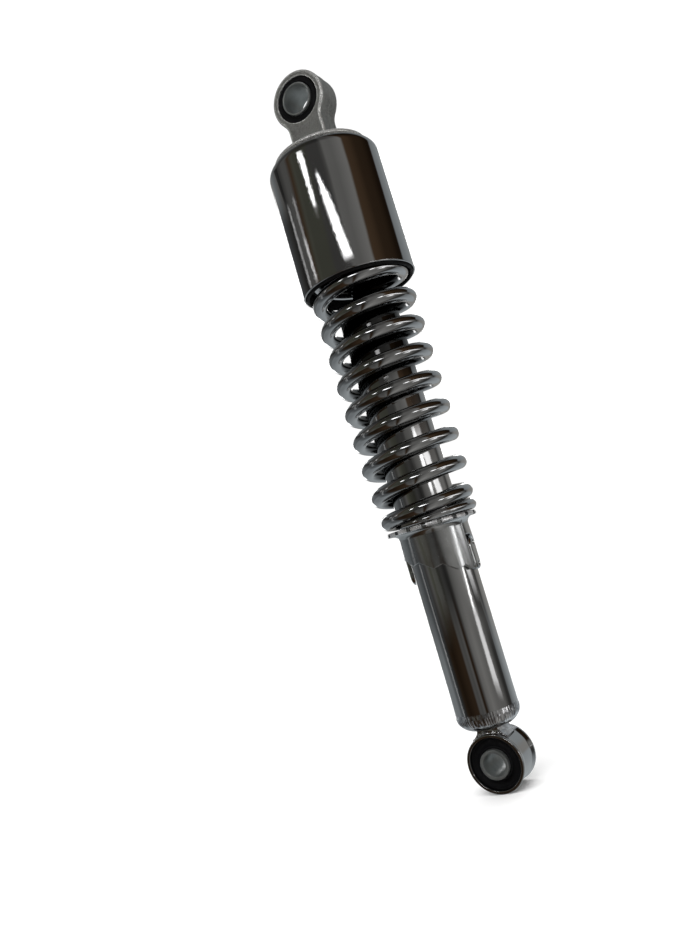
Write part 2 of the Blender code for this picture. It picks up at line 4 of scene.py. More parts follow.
import bmesh
import bpy
import numpy as np
from mathutils import Matrix, Vector, noise

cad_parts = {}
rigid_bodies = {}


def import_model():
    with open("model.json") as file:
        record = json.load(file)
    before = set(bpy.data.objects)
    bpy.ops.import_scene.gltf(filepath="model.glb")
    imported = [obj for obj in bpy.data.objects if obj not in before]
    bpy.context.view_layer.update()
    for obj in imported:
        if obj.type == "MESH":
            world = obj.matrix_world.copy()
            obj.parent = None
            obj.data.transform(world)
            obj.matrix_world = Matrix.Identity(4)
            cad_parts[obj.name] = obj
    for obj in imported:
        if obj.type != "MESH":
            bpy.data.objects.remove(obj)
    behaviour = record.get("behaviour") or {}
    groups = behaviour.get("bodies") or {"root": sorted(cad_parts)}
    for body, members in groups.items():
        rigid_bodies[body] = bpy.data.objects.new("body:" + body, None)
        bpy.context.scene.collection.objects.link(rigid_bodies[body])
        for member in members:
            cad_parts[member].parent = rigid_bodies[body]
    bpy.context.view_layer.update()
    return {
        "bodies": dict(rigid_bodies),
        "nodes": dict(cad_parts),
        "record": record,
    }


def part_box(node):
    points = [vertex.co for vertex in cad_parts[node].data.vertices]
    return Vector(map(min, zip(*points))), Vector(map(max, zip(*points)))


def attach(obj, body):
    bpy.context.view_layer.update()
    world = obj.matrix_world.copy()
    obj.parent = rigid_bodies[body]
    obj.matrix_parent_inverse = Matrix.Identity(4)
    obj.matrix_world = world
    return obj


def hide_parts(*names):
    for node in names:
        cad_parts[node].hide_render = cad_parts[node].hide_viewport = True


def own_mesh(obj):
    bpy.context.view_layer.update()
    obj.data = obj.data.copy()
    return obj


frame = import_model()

# A motorcycle rear shock absorber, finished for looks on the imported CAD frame. Lengths in this file are
# millimetres and angles degrees, unless a name says otherwise; meshes are made in metres.

MM = 0.001

# Heights along the shock's axis, with the origin at the lower eye's centre, and the tube's radius.
UPPER_EYE_Z = 327.0
CAP_BOTTOM = 296.3
CAP_TOP = 299.1
COVER_TOP = 296.0
COVER_BOTTOM = 229.0
TUBE_TOP = 216.3
TUBE_BOTTOM = 22.2
TUBE_R = 14.6
COLLAR_TOP = 110.2
FLOOR_Z = -13.3

# The camera: turned round the shock, tilted up and rolled.
VIEW_TURN = 29.0
VIEW_TILT = 7.007
VIEW_ROLL = 16.2
VIEW_PLACE = (-28.93, -378.46, 99.42)  # across, along and above, in the turned axes
VIEW_LENS = 31.183

ACROSS = Vector((math.cos(math.radians(VIEW_TURN)), math.sin(math.radians(VIEW_TURN)), 0))
AWAY = Vector((-math.sin(math.radians(VIEW_TURN)), math.cos(math.radians(VIEW_TURN)), 0))


# Mesh helpers

ON_AXIS = 0.01  # an outline's radius at the axis, just off it so that no face has zero width


def finished(name, mesh, material, sharp=38.0):
    """A linked object in the row frame, smooth apart from edges over the sharp angle."""
    mesh.shade_smooth()
    mesh.set_sharp_from_angle(angle=math.radians(sharp))
    mesh.materials.clear()
    mesh.materials.append(material)
    piece = bpy.data.objects.new(name, mesh)
    bpy.context.scene.collection.objects.link(piece)
    return piece


def mesh_of(name, points, faces):
    """A mesh in metres from points in millimetres, with its faces pointing out."""
    mesh = bpy.data.meshes.new(name)
    mesh.from_pydata([[c * MM for c in p] for p in points], [], faces)
    shape = bmesh.new()
    shape.from_mesh(mesh)
    bmesh.ops.remove_doubles(shape, verts=shape.verts, dist=1e-7)
    bmesh.ops.recalc_face_normals(shape, faces=shape.faces)
    shape.to_mesh(mesh)
    shape.free()
    return mesh


def rounded(corners, steps=5):
    """A closed (radius, height) outline from corners (radius, height, fillet)."""
    outline = []
    for i, (r, z, fillet) in enumerate(corners):
        if fillet <= 0:
            outline.append((r, z))
            continue
        corner = Vector((r, z))
        before = (Vector(corners[i - 1][:2]) - corner).normalized()
        after = (Vector(corners[(i + 1) % len(corners)][:2]) - corner).normalized()
        half = before.angle(after) / 2
        centre = corner + (before + after).normalized() * fillet / math.sin(half)
        start = corner + before * fillet / math.tan(half) - centre
        end = corner + after * fillet / math.tan(half) - centre
        sweep = math.pi - 2 * half
        for step in range(steps + 1):
            share = step / steps
            spoke = start * math.sin((1 - share) * sweep) + end * math.sin(share * sweep)
            outline.append(tuple(centre + spoke / math.sin(sweep)))
    return outline


def solid_outline(radius, low, high):
    """A plain cylinder's outline."""
    return [(ON_AXIS, low), (radius, low), (radius, high), (ON_AXIS, high)]


def lathe_points(outline, segments, radial=None):
    """Rings of points about Z. radial(angle, index) adds to a point's radius."""
    rings = []
    for i in range(segments):
        angle = 2 * math.pi * i / segments
        ring = []
        for index, (r, z) in enumerate(outline):
            reach = r + (radial(angle, index) if radial else 0)
            ring.append((reach * math.cos(angle), reach * math.sin(angle), z))
        rings.append(ring)
    return rings


def skinned(name, rings):
    """Joins closed rings of points, the last to the first."""
    size = len(rings[0])
    points = [point for ring in rings for point in ring]
    faces = []
    for i in range(len(rings)):
        here, there = i * size, (i + 1) % len(rings) * size
        for j in range(size):
            k = (j + 1) % size
            faces.append((here + j, here + k, there + k, there + j))
    return mesh_of(name, points, faces)


def lathe(name, outline, material, segments=192, radial=None):
    return finished(name, skinned(name, lathe_points(outline, segments, radial)), material)


def rings_y(outline, z, segments):
    """Rings of points about Y at height z: the outline is (radius, place along Y)."""
    return [[(x, h, z + y) for x, y, h in ring] for ring in lathe_points(outline, segments)]


def lathe_y(name, outline, z, material, segments=144):
    return finished(name, skinned(name, rings_y(outline, z, segments)), material)


def arc(centre_x, centre_z, radius, start, end, steps):
    angles = [math.radians(start + (end - start) * i / steps) for i in range(steps + 1)]
    return [(centre_x + radius * math.cos(a), centre_z + radius * math.sin(a)) for a in angles]


def extruded(name, outline, y_from, y_to):
    """A closed (x, z) outline, extruded along Y."""
    count = len(outline)
    points = [(x, y_from, z) for x, z in outline] + [(x, y_to, z) for x, z in outline]
    faces = [tuple(range(count)), tuple(range(2 * count - 1, count - 1, -1))]
    for i in range(count):
        k = (i + 1) % count
        faces.append((i, k, count + k, count + i))
    return mesh_of(name, points, faces)


def softened(mesh, width):
    """Rounds the edges round a mesh's two largest faces."""
    shape = bmesh.new()
    shape.from_mesh(mesh)
    ends = sorted(shape.faces, key=lambda face: face.calc_area())[-2:]
    edges = {edge for face in ends for edge in face.edges}
    bmesh.ops.bevel(shape, geom=list(edges), offset=width * MM, segments=4, profile=0.5, affect="EDGES")
    shape.to_mesh(mesh)
    shape.free()
    return mesh


def fused(name, meshes, material, voxel, smoothing, cuts, sharp=50.0):
    """Unites overlapping meshes by a voxel remesh and smooths the seams, as a casting or a weld has them.
    cuts are meshes taken away after the remesh, so that a bore stays crisp."""
    shape = bmesh.new()
    for mesh in meshes:
        shape.from_mesh(mesh)
    joined = bpy.data.meshes.new(name)
    shape.to_mesh(joined)
    shape.free()
    piece = finished(name, joined, material, sharp)
    remesh = piece.modifiers.new("remesh", "REMESH")
    remesh.mode = "VOXEL"
    remesh.voxel_size = voxel * MM
    remesh.use_smooth_shade = True
    smooth = piece.modifiers.new("smooth", "SMOOTH")
    smooth.factor = 0.5
    smooth.iterations = smoothing
    for mesh in cuts:
        tool = finished(mesh.name, mesh, material)
        cut = piece.modifiers.new("cut", "BOOLEAN")
        cut.operation = "DIFFERENCE"
        cut.solver = "EXACT"
        cut.object = tool
    apply_modifiers(piece)
    for mesh in cuts:
        bpy.data.objects.remove(bpy.data.objects[mesh.name], do_unlink=True)
    piece.data.shade_smooth()
    piece.data.set_sharp_from_angle(angle=math.radians(sharp))
    return piece


def apply_modifiers(piece):
    bpy.context.view_layer.update()
    graph = bpy.context.evaluated_depsgraph_get()
    made = bpy.data.meshes.new_from_object(piece.evaluated_get(graph), depsgraph=graph)
    piece.modifiers.clear()
    piece.data = made


def mark_bright_edges(piece, low, high, seam_half):
    """Stores how convex the surface is at each point, from 0 to 1, for the material to brighten: partly wear
    and partly a painted highlight on the edges. On the mould's seam, within seam_half of the middle, the
    brightening is kept faint."""
    smoothing_passes = 2
    seam_share = 0.15
    mesh = piece.data
    count = len(mesh.vertices)
    places = np.empty(count * 3)
    normals = np.empty(count * 3)
    ends = np.empty(len(mesh.edges) * 2, int)
    mesh.vertices.foreach_get("co", places)
    mesh.vertices.foreach_get("normal", normals)
    mesh.edges.foreach_get("vertices", ends)
    places, normals, ends = places.reshape(-1, 3), normals.reshape(-1, 3), ends.reshape(-1, 2)
    along = places[ends[:, 0]] - places[ends[:, 1]]
    along /= np.maximum(np.linalg.norm(along, axis=1, keepdims=True), 1e-9)
    bend = np.zeros(count)
    edges = np.zeros(count)
    for end, sign in ((0, 1.0), (1, -1.0)):
        at = ends[:, end]
        np.add.at(bend, at, sign * (normals[at] * along).sum(axis=1))
        np.add.at(edges, at, 1)
    bend /= np.maximum(edges, 1)
    for _ in range(smoothing_passes):
        spread = np.zeros(count)
        np.add.at(spread, ends[:, 0], bend[ends[:, 1]])
        np.add.at(spread, ends[:, 1], bend[ends[:, 0]])
        bend = (bend + spread / np.maximum(edges, 1)) / 2
    # Brightness for convex places: partly wear, partly a painted highlight on the edges.
    wear_and_highlight = np.clip((bend - low) / (high - low), 0, 1)
    wear_and_highlight[np.abs(places[:, 1]) < seam_half * MM] *= seam_share
    mesh.attributes.new("wear_and_highlight", "FLOAT", "POINT").data.foreach_set("value", wear_and_highlight.astype(np.float32))


# Material helpers


def start_material(name, colour, metallic, roughness):
    material = bpy.data.materials.new(name)
    material.use_nodes = True
    shader = material.node_tree.nodes["Principled BSDF"]
    shader.inputs["Base Color"].default_value = (*colour, 1)
    shader.inputs["Metallic"].default_value = metallic
    shader.inputs["Roughness"].default_value = roughness
    return material, material.node_tree, shader


def value_noise(tree, scale, detail=4.0, stretch=(1, 1, 1), roughness=0.5):
    """Noise in the piece's own space: scale is features a metre."""
    place = tree.nodes.new("ShaderNodeTexCoord")
    mapping = tree.nodes.new("ShaderNodeMapping")
    mapping.inputs["Scale"].default_value = stretch
    texture = tree.nodes.new("ShaderNodeTexNoise")
    texture.inputs["Scale"].default_value = scale
    texture.inputs["Detail"].default_value = detail
    texture.inputs["Roughness"].default_value = roughness
    tree.links.new(place.outputs["Object"], mapping.inputs["Vector"])
    tree.links.new(mapping.outputs["Vector"], texture.inputs["Vector"])
    return texture.outputs["Fac"]


def ranged(tree, value, from_low, from_high, to_low, to_high, smooth=False):
    node = tree.nodes.new("ShaderNodeMapRange")
    node.interpolation_type = "SMOOTHSTEP" if smooth else "LINEAR"
    names = ("From Min", "From Max", "To Min", "To Max")
    for name, number in zip(names, (from_low, from_high, to_low, to_high)):
        if isinstance(number, bpy.types.NodeSocket):
            tree.links.new(number, node.inputs[name])
        else:
            node.inputs[name].default_value = number
    tree.links.new(value, node.inputs["Value"])
    return node.outputs["Result"]


def maths(tree, operation, first, second=None):
    node = tree.nodes.new("ShaderNodeMath")
    node.operation = operation
    for socket, value in zip(node.inputs, (first, second)):
        if isinstance(value, bpy.types.NodeSocket):
            tree.links.new(value, socket)
        elif value is not None:
            socket.default_value = value
    return node.outputs["Value"]


def blended(tree, share, first, second):
    """A colour between two, each a socket or a colour."""
    node = tree.nodes.new("ShaderNodeMix")
    node.data_type = "RGBA"
    tree.links.new(share, node.inputs["Factor"])
    for socket, value in ((node.inputs["A"], first), (node.inputs["B"], second)):
        socket = next(s for s in node.inputs if s.name == socket.name and s.type == "RGBA")
        if isinstance(value, bpy.types.NodeSocket):
            tree.links.new(value, socket)
        else:
            socket.default_value = (*value, 1)
    return next(s for s in node.outputs if s.type == "RGBA")


def bumped(tree, height, distance, under=None):
    """distance is the bump's full height in millimetres."""
    node = tree.nodes.new("ShaderNodeBump")
    node.inputs["Strength"].default_value = 1.0
    node.inputs["Distance"].default_value = distance * MM
    tree.links.new(height, node.inputs["Height"])
    if under:
        tree.links.new(under, node.inputs["Normal"])
    return node.outputs["Normal"]


def chrome(name, colour, roughness, haze, waviness, grain=0.0, lines=0.0, dark_inside=None, dark_above=None):
    """Chrome plate: nearly a mirror, with faint haze and waviness and, if asked, a grain and polishing lines.
    Nearer the axis than the radius dark_inside, and above the height dark_above, it is darkened. That stands
    in for light that doesn't reach there: it isn't a finish that the real piece is known to have."""
    material, tree, shader = start_material(name, colour, 1.0, roughness)
    smudges = ranged(tree, value_noise(tree, 55, 5), 0.42, 0.72, roughness, roughness + haze, smooth=True)
    tree.links.new(smudges, shader.inputs["Roughness"])
    tint = ranged(tree, value_noise(tree, 30, 3), 0.35, 0.7, 0, 1)
    darker = [c * 0.9 for c in colour]
    base = blended(tree, tint, colour, darker)
    if dark_above or dark_inside:
        spot = tree.nodes.new("ShaderNodeSeparateXYZ")
        tree.links.new(tree.nodes.new("ShaderNodeTexCoord").outputs["Object"], spot.inputs["Vector"])
    if dark_above:
        fade, left = 14, 0.16
        high = ranged(tree, spot.outputs["Z"], dark_above * MM, (dark_above + fade) * MM, 0, 1, smooth=True)
        base = blended(tree, high, base, [c * left for c in colour])
    if dark_inside:
        fade, left = 2, 0.14
        squares = [maths(tree, "MULTIPLY", spot.outputs[axis], spot.outputs[axis]) for axis in "XY"]
        radius = maths(tree, "SQRT", maths(tree, "ADD", *squares))
        inner = ranged(tree, radius, dark_inside * MM, (dark_inside + fade) * MM, 1, 0, smooth=True)
        base = blended(tree, inner, base, [c * left for c in colour])
    tree.links.new(base, shader.inputs["Base Color"])
    surface = bumped(tree, value_noise(tree, 90, 2), waviness)
    if grain:
        surface = bumped(tree, value_noise(tree, 1600, 3), grain, under=surface)
    if lines:
        grooves = value_noise(tree, 900, 3, stretch=(1, 1, 0.02))
        surface = bumped(tree, grooves, lines, under=surface)
    tree.links.new(surface, shader.inputs["Normal"])
    return material


def satin_chrome(name):
    """Plating over a drawn and brushed ring: the brush marks run round it."""
    material, tree, shader = start_material(name, (0.7, 0.71, 0.72), 1.0, 0.16)
    rough = ranged(tree, value_noise(tree, 120, 4), 0.35, 0.7, 0.12, 0.22)
    tree.links.new(rough, shader.inputs["Roughness"])
    tint = ranged(tree, value_noise(tree, 70, 3), 0.35, 0.7, 0, 1)
    tree.links.new(blended(tree, tint, (0.78, 0.79, 0.8), (0.62, 0.63, 0.64)), shader.inputs["Base Color"])
    surface = bumped(tree, value_noise(tree, 900, 3, stretch=(0.08, 0.08, 1)), 0.0025)
    surface = bumped(tree, value_noise(tree, 160, 3), 0.016, under=surface)
    tree.links.new(surface, shader.inputs["Normal"])
    return material


def weld_chrome(name):
    """Chrome over a rough weld: bright grains between dull ones."""
    material, tree, shader = start_material(name, (0.7, 0.7, 0.72), 1.0, 0.12)
    rough = ranged(tree, value_noise(tree, 700, 4), 0.35, 0.65, 0.04, 0.22)
    tree.links.new(rough, shader.inputs["Roughness"])
    tint = ranged(tree, value_noise(tree, 380, 3), 0.35, 0.65, 0, 1)
    tree.links.new(blended(tree, tint, (0.95, 0.95, 0.97), (0.5, 0.5, 0.52)), shader.inputs["Base Color"])
    surface = bumped(tree, value_noise(tree, 900, 5, roughness=0.65), 0.06)
    tree.links.new(surface, shader.inputs["Normal"])
    return material


def cast_aluminium(name):
    """Bare die casting: a fine grain, darker patches, and convex edges brightened, partly as wear and partly
    as a painted highlight.
    """
    material, tree, shader = start_material(name, (0.3, 0.3, 0.29), 0.8, 0.45)
    wear_and_highlight = tree.nodes.new("ShaderNodeAttribute")
    wear_and_highlight.attribute_name = "wear_and_highlight"
    speckle = value_noise(tree, 1500, 5, roughness=0.65)
    broken = maths(tree, "MULTIPLY", wear_and_highlight.outputs["Fac"], ranged(tree, speckle, 0.38, 0.56, 0.25, 1.0))
    patches = ranged(tree, value_noise(tree, 110, 5), 0.32, 0.7, 0, 1)
    grain = ranged(tree, speckle, 0.36, 0.64, 0, 1)
    base = blended(tree, patches, (0.27, 0.27, 0.26), (0.165, 0.165, 0.158))
    base = blended(tree, maths(tree, "MULTIPLY", grain, 0.5), base, (0.46, 0.46, 0.44))
    # Convex edges pale and smoother: wear together with a painted highlight.
    base = blended(tree, broken, base, (0.95, 0.95, 0.93))
    tree.links.new(base, shader.inputs["Base Color"])
    rough = ranged(tree, grain, 0, 1, 0.52, 0.36)
    polished = ranged(tree, broken, 0, 1, 0, 0.24)
    tree.links.new(maths(tree, "SUBTRACT", rough, polished), shader.inputs["Roughness"])
    surface = bumped(tree, value_noise(tree, 260, 3), 0.1)
    surface = bumped(tree, speckle, 0.11, under=surface)
    tree.links.new(surface, shader.inputs["Normal"])
    return material


def turned_steel(name, colour, roughness, metallic=1.0):
    """Plated or ground steel, dull grey with fine marks."""
    material, tree, shader = start_material(name, colour, metallic, roughness)
    rough = ranged(tree, value_noise(tree, 300, 4), 0.35, 0.7, roughness - 0.07, roughness + 0.1)
    tree.links.new(rough, shader.inputs["Roughness"])
    tint = ranged(tree, value_noise(tree, 140, 4), 0.35, 0.7, 0, 1)
    darker = [c * 0.72 for c in colour]
    tree.links.new(blended(tree, tint, colour, darker), shader.inputs["Base Color"])
    surface = bumped(tree, value_noise(tree, 1300, 4), 0.01)
    tree.links.new(surface, shader.inputs["Normal"])
    return material


def moulded(name, colour, roughness, shine, grain):
    """Rubber or plastic: nearly black, with a fine moulded grain and paler scuffs."""
    material, tree, shader = start_material(name, colour, 0.0, roughness)
    shader.inputs["Specular IOR Level"].default_value = shine
    rough = ranged(tree, value_noise(tree, 220, 4), 0.35, 0.7, roughness - 0.12, roughness + 0.12)
    tree.links.new(rough, shader.inputs["Roughness"])
    scuffs = ranged(tree, value_noise(tree, 420, 5, roughness=0.6), 0.6, 0.78, 0, 1)
    paler = [c * 2 + 0.002 for c in colour]
    tree.links.new(blended(tree, scuffs, colour, paler), shader.inputs["Base Color"])
    surface = bumped(tree, value_noise(tree, 1400, 4), grain)
    tree.links.new(surface, shader.inputs["Normal"])
    return material


CHROME = chrome("chrome_plate", (0.62, 0.62, 0.625), 0.025, 0.05, 0.018, grain=0.0012)
CHROME_TUBE = chrome(
    "chrome_tube", (0.62, 0.62, 0.625), 0.03, 0.06, 0.018, grain=0.001, lines=0.0006, dark_above=174
)
CHROME_WIRE = chrome("chrome_wire", (0.64, 0.645, 0.655), 0.045, 0.05, 0.014, dark_inside=18.5)
CHROME_WELD = weld_chrome("chrome_weld")
SATIN = satin_chrome("satin_chrome_ring")
ALUMINIUM = cast_aluminium("cast_aluminium_grain")
ZINC = turned_steel("zinc_plate", (0.33, 0.345, 0.34), 0.38, metallic=0.85)
# A brighter plate for the collar's tab rims: a painted highlight.
TAB_HIGHLIGHT = turned_steel("tab_highlight_plate", (0.92, 0.92, 0.93), 0.3, metallic=0.85)
STEEL = turned_steel("ground_steel", (0.5, 0.5, 0.5), 0.26)
BRONZE = turned_steel("bronze_lining", (0.45, 0.3, 0.12), 0.32)
RUBBER = moulded("black_rubber", (0.0035, 0.0035, 0.004), 0.6, 0.2, 0.015)
PLASTIC = moulded("black_moulding", (0.003, 0.003, 0.003), 0.5, 0.15, 0.01)


def place(piece, body, slot, *nodes):
    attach(piece, body)
    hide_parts(*nodes)
    return piece


# Upper end


def eye_casting():
    """Eye ring, neck, cap and boss in one casting, with the mould's parting line up both sides."""
    ring_r, neck, half, flare, hollow = 14.4, 9.65, 7.5, 3.0, 8.0
    blend_x = neck + hollow
    drop = math.sqrt((ring_r + hollow) ** 2 - blend_x**2)
    turn = math.degrees(math.atan2(drop, blend_x))
    foot = CAP_TOP - 0.8
    seam_proud, seam_half, seam_inside = 0.12, 0.35, 5
    rim_r = 23.8
    boss_r, boss_bottom, boss_top = 11, 291.4, 297
    bore_r, bore_half = 11.4, 12

    def silhouette(extra, top):
        side = arc(0, UPPER_EYE_Z, ring_r + extra, top, -turn, 40)
        side += arc(blend_x, UPPER_EYE_Z - drop, hollow - extra, 180 - turn, 180, 10)[1:]
        side += arc(neck + extra + flare, foot + flare, flare, 180, 270, 8)
        return side

    right = silhouette(0, 90)
    body = extruded("casting_body", right + [(-x, z) for x, z in reversed(right[1:])], -half, half)
    body = softened(body, 1.0)
    seam_side = silhouette(seam_proud, 40)
    seams = []
    for sign in (1, -1):
        seam = [(sign * x, z) for x, z in seam_side]
        seam += [(sign * seam_inside, foot), (sign * seam_inside, UPPER_EYE_Z + 6)]
        seams.append(extruded("casting_seam", seam, -seam_half, seam_half))
    rim = [
        (ON_AXIS, CAP_BOTTOM, 0),
        (rim_r, CAP_BOTTOM, 0.9),
        (rim_r, CAP_TOP - 0.5, 1.2),
        (13, CAP_TOP, 0),
        (ON_AXIS, CAP_TOP, 0),
    ]
    cap = skinned("casting_cap", lathe_points(rounded(rim), 160))
    boss = skinned("casting_boss", lathe_points(solid_outline(boss_r, boss_bottom, boss_top), 96))
    bore = skinned("casting_bore", rings_y(solid_outline(bore_r, -bore_half, bore_half), UPPER_EYE_Z, 144))
    parts = [body, *seams, cap, boss]
    casting = fused("eye_casting", parts, ALUMINIUM, voxel=0.33, smoothing=4, cuts=[bore])
    mark_bright_edges(casting, low=0.012, high=0.045, seam_half=2.5)
    return place(casting, "upper_assembly", "cast_aluminium", "upper_eye_casting")


def rubber_bush(name, inner, outer, rim, dip, lip, z, body, node):
    """The rubber ring between eye and sleeve: its faces are hollow between two raised edges."""
    middle = (inner + outer) / 2
    side = [
        (inner, lip, 0.3),
        (inner + 0.9, lip, 0.5),
        (middle, dip, 1.6),
        (outer - 0.8, rim, 0.5),
        (outer, rim, 0.2),
    ]
    corners = side + [(r, -y, fillet) for r, y, fillet in reversed(side)]
    return place(lathe_y(name, rounded(corners), z, RUBBER), body, "rubber", node)


def eye_sleeve(name, bore, outer, z, body, node):
    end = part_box(node)[1][1] / MM
    corners = [(bore, end, 0.35), (outer, end, 0.25), (outer, -end, 0.25), (bore, -end, 0.35)]
    return place(lathe_y(name, rounded(corners, 4), z, ZINC), body, "zinc_steel", node)


def cover_shell():
    outer, wall, hole = 27.9, 0.9, 11.3
    corners = [
        (outer - wall, COVER_BOTTOM, 0.35),
        (outer, COVER_BOTTOM, 0.45),
        (outer, COVER_TOP, 5.5),
        (hole, COVER_TOP, 0.2),
        (hole, COVER_TOP - wall, 0.2),
        (outer - wall, COVER_TOP - wall, 4.6),
    ]
    cover = lathe("cover_shell", rounded(corners, 10), CHROME, 256)
    return place(cover, "upper_assembly", "chrome", "chrome_cover")


def cover_liner():
    inner, outer, bottom, top, fillet = 25.5, 26.7, 228.0, 289.0, 0.3
    corners = [(inner, bottom, fillet), (outer, bottom, fillet), (outer, top, fillet), (inner, top, fillet)]
    liner = lathe("cover_liner", rounded(corners, 3), PLASTIC)
    return place(liner, "upper_assembly", "black_plastic", "spring_guide_liner")


# Spring and collar

WIRE_R = 3.5
COIL_R = 21.5
COIL_END_R = 19.3
COIL_PITCH = 13.8
COIL_PHASE = 209.0
COIL_PHASE_Z = 195.95
SPRING_BOTTOM = 110.5
SPRING_TOP = 292.9
CLOSED_BELOW = 1.1
CLOSED_ABOVE = 0.7
GROUND_TURNS = 0.46  # of the lowest turn, the stretch that is ground thinner towards its tip
GROUND_TIP_R = 0.85
TAPER_TURNS = 2.6
SOFTNESS_BELOW = 2.5  # how gradually the pitch starts
SOFTNESS_ABOVE = 8.6  # how gradually it ends
CLOSED_TO = 119.5  # height up to which the lower turns don't close up further
ACTIVE_TO = 284.0  # height above which the wire moves with the upper end


def coil_height(degrees):
    """Height of the wire's centre: an even pitch that flattens towards both closed ends."""
    floor = SPRING_BOTTOM + WIRE_R - 0.15
    ceiling = SPRING_TOP - WIRE_R + 0.4
    even = COIL_PHASE_Z + COIL_PITCH * (degrees - COIL_PHASE) / 360
    lifted = (even + floor) / 2 + math.sqrt(((even - floor) / 2) ** 2 + SOFTNESS_BELOW)
    return (lifted + ceiling) / 2 - math.sqrt(((ceiling - lifted) / 2) ** 2 + SOFTNESS_ABOVE)


def sweep_group(top_point, top_height):
    """Shares the top point's drop out among the active turns, then sweeps a round wire along the edges."""
    group = bpy.data.node_groups.new("wire_sweep", "GeometryNodeTree")
    group.interface.new_socket("Geometry", in_out="INPUT", socket_type="NodeSocketGeometry")
    group.interface.new_socket("Geometry", in_out="OUTPUT", socket_type="NodeSocketGeometry")
    nodes, links = group.nodes, group.links
    start = nodes.new("NodeGroupInput")
    wire_sides = 28

    def stored(name):
        node = nodes.new("GeometryNodeInputNamedAttribute")
        node.data_type = "FLOAT"
        node.inputs["Name"].default_value = name
        return node.outputs["Attribute"]

    def height_of(place):
        node = nodes.new("ShaderNodeSeparateXYZ")
        links.new(place, node.inputs["Vector"])
        return node.outputs["Z"]

    here = nodes.new("GeometryNodeInputPosition").outputs["Position"]
    top = nodes.new("GeometryNodeSampleIndex")
    top.data_type = "FLOAT_VECTOR"
    top.inputs["Index"].default_value = top_point
    links.new(start.outputs[0], top.inputs["Geometry"])
    links.new(here, top.inputs["Value"])
    drop = maths(group, "SUBTRACT", top_height * MM, height_of(top.outputs["Value"]))
    lowered = maths(group, "MULTIPLY", stored("give"), drop)
    wanted = maths(group, "SUBTRACT", stored("rest_height"), lowered)
    raised = nodes.new("ShaderNodeCombineXYZ")
    links.new(maths(group, "SUBTRACT", wanted, height_of(here)), raised.inputs["Z"])
    settle = nodes.new("GeometryNodeSetPosition")
    links.new(start.outputs[0], settle.inputs["Geometry"])
    links.new(raised.outputs["Vector"], settle.inputs["Offset"])
    line = nodes.new("GeometryNodeMeshToCurve")
    ring = nodes.new("GeometryNodeCurvePrimitiveCircle")
    ring.inputs["Resolution"].default_value = wire_sides
    ring.inputs["Radius"].default_value = WIRE_R * MM
    sweep = nodes.new("GeometryNodeCurveToMesh")
    sweep.inputs["Fill Caps"].default_value = True
    shade = nodes.new("GeometryNodeSetShadeSmooth")
    paint = nodes.new("GeometryNodeSetMaterial")
    paint.inputs["Material"].default_value = CHROME_WIRE
    end = nodes.new("NodeGroupOutput")
    links.new(settle.outputs["Geometry"], line.inputs["Mesh"])
    links.new(line.outputs["Curve"], sweep.inputs["Curve"])
    links.new(stored("thickness"), sweep.inputs["Scale"])
    links.new(ring.outputs["Curve"], sweep.inputs["Profile Curve"])
    links.new(sweep.outputs["Mesh"], shade.inputs["Geometry"])
    links.new(shade.outputs["Geometry"], paint.inputs["Geometry"])
    links.new(paint.outputs["Geometry"], end.inputs[0])
    return group


def spring_coil():
    """The wire's centreline, a hook that keeps its top end under the cover, and the sweep."""
    steps_a_turn = 80
    shared_turns = 0.6  # closed turns that the rise counts already
    past_top = 100  # degrees on from where an even pitch would reach the top
    rise = SPRING_TOP - SPRING_BOTTOM - 2 * WIRE_R
    turns = rise / COIL_PITCH + CLOSED_BELOW + CLOSED_ABOVE - shared_turns
    last = COIL_PHASE + 360 * (SPRING_TOP - WIRE_R - COIL_PHASE_Z) / COIL_PITCH + past_top
    first = last - 360 * turns
    count = round(turns * steps_a_turn)
    points, thickness = [], []
    for i in range(count + 1):
        degrees = first + (last - first) * i / count
        from_end = (degrees - first) / 360
        along = min(max((from_end - CLOSED_BELOW) / TAPER_TURNS, 0), 1)
        wire = GROUND_TIP_R + (WIRE_R - GROUND_TIP_R) * min(from_end / GROUND_TURNS, 1)
        thinned = WIRE_R - wire
        radius = COIL_END_R + (COIL_R - COIL_END_R) * along * (2 - along) + thinned
        angle = math.radians(degrees)
        points.append((radius * math.cos(angle), radius * math.sin(angle), coil_height(degrees) - thinned))
        thickness.append(wire / WIRE_R)
    mesh = bpy.data.meshes.new("spring_coil")
    mesh.from_pydata([[c * MM for c in p] for p in points], [(i, i + 1) for i in range(count)], [])
    heights = [point[2] for point in points]
    give = [min(max((z - CLOSED_TO) / (ACTIVE_TO - CLOSED_TO), 0), 1) for z in heights]
    stored = {"thickness": thickness, "rest_height": [z * MM for z in heights], "give": give}
    for name, values in stored.items():
        mesh.attributes.new(name, "FLOAT", "POINT").data.foreach_set("value", values)
    mesh.materials.append(CHROME_WIRE)
    spring = bpy.data.objects.new("spring_coil", mesh)
    bpy.context.scene.collection.objects.link(spring)
    upward = spring.vertex_groups.new(name="upper_end")
    for i, share in enumerate(give):
        upward.add([i], share, "REPLACE")
    bpy.context.view_layer.update()
    body = frame["bodies"]["damper_body"]
    stay = spring.modifiers.new("stay", "HOOK")
    stay.object = body
    stay.vertex_group = "upper_end"
    stay.matrix_inverse = body.matrix_world.inverted() @ spring.matrix_world
    sweep = spring.modifiers.new("sweep", "NODES")
    sweep.node_group = sweep_group(count, heights[-1])
    place(spring, "spring", "chrome", "coil_spring")
    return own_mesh(spring)


